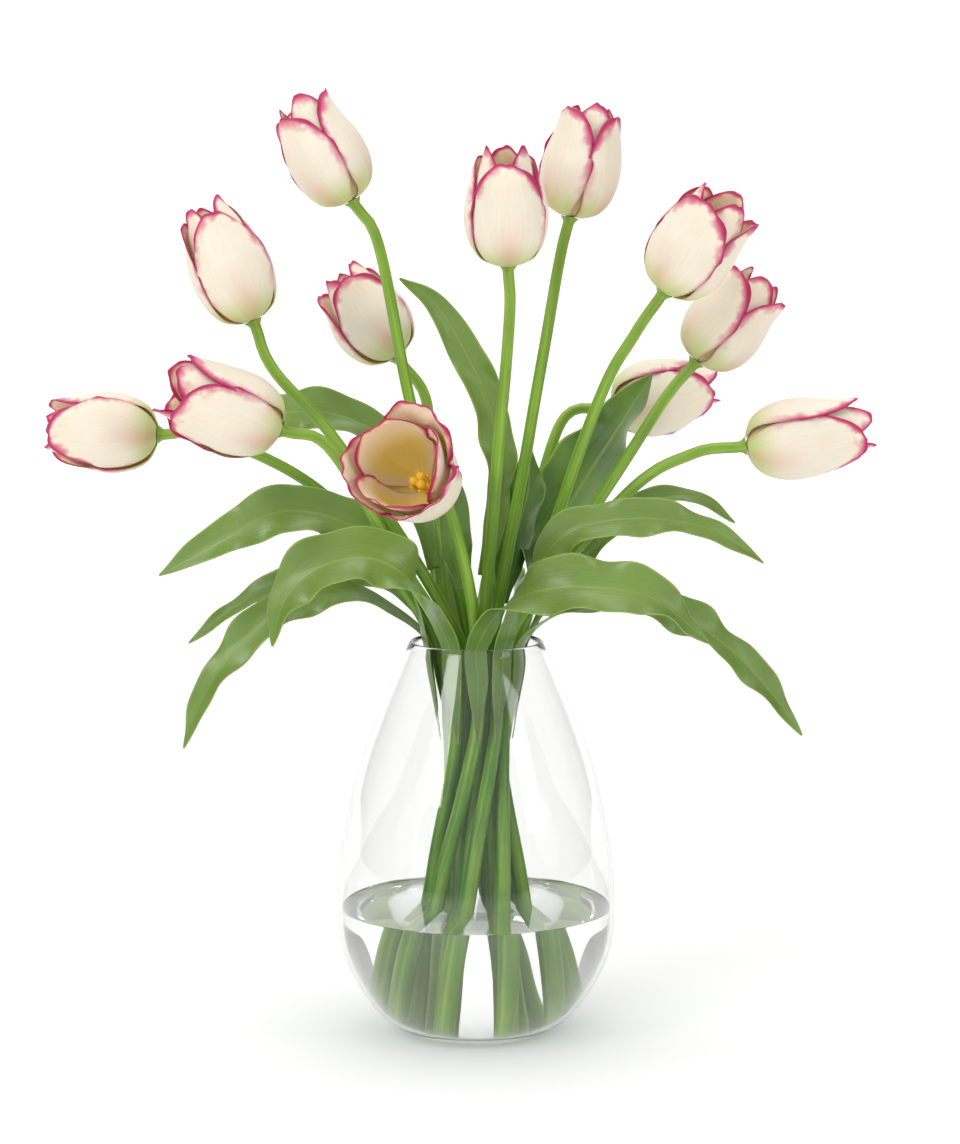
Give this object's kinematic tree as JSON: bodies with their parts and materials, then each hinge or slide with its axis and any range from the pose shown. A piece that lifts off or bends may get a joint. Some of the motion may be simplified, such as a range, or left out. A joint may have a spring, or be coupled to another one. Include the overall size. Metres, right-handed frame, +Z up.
{
  "type": "permanent tulip arrangement in a glass vase",
  "caption": "Teardrop glass vase holding a permanent arrangement of cream and pink tulips, with the stems cast in clear resin that looks like water.",
  "frame": {"origin": "centre of the vase's flat ground base", "axes": "+Z up along the vase's axis; the front of the arrangement faces -Y and +X is to the right, seen from the front"},
  "size_m": [0.4223, 0.2341, 0.4865],
  "materials": {
    "glass": "clear blown glass, fire polished",
    "resin": "clear cast resin",
    "petal": "soft-touch moulded petal, cream tinted pink by hand",
    "stem": "soft-touch moulded stem",
    "leaf": "soft-touch moulded leaf with fine veins",
    "wire": "drawn steel wire",
    "flower_centre": "moulded, dusted yellow"
  },
  "bodies": {
    "root": {"vase": "glass", "clear_resin": "resin", "tulip_01_stem": "stem", "tulip_01_outer_petals": "petal", "tulip_01_inner_petals": "petal", "tulip_02_stem": "stem", "tulip_02_outer_petals": "petal", "tulip_02_inner_petals": "petal", "tulip_03_stem": "stem", "tulip_03_outer_petals": "petal", "tulip_03_inner_petals": "petal", "tulip_04_stem": "stem", "tulip_04_outer_petals": "petal", "tulip_04_inner_petals": "petal", "tulip_05_stem": "stem", "tulip_05_outer_petals": "petal", "tulip_05_inner_petals": "petal", "tulip_06_stem": "stem", "tulip_06_outer_petals": "petal", "tulip_06_inner_petals": "petal", "tulip_07_stem": "stem", "tulip_07_outer_petals": "petal", "tulip_07_inner_petals": "petal", "tulip_08_stem": "stem", "tulip_08_outer_petals": "petal", "tulip_08_inner_petals": "petal", "tulip_09_stem": "stem", "tulip_09_outer_petals": "petal", "tulip_09_inner_petals": "petal", "tulip_10_stem": "stem", "tulip_10_outer_petals": "petal", "tulip_10_inner_petals": "petal", "tulip_11_stem": "stem", "tulip_11_outer_petals": "petal", "tulip_11_inner_petals": "petal", "tulip_12_stem": "stem", "tulip_12_outer_petals": "petal", "tulip_12_inner_petals": "petal", "leaf_arching_left": "leaf", "leaf_front_fold": "leaf", "leaf_thin_left": "leaf", "leaf_hanging_left": "leaf", "leaf_front_right": "leaf", "leaf_level_right": "leaf", "leaf_falling_right": "leaf", "leaf_behind_right": "leaf", "leaf_upright_broad": "leaf", "leaf_back_left": "leaf", "leaf_back_right": "leaf", "leaf_upper_left": "leaf", "leaf_upright_twist": "leaf", "leaf_upright_short": "leaf", "leaf_front_short": "leaf", "stem_wires": "wire", "flower_centres": "flower_centre"}
  },
  "joints": []
}
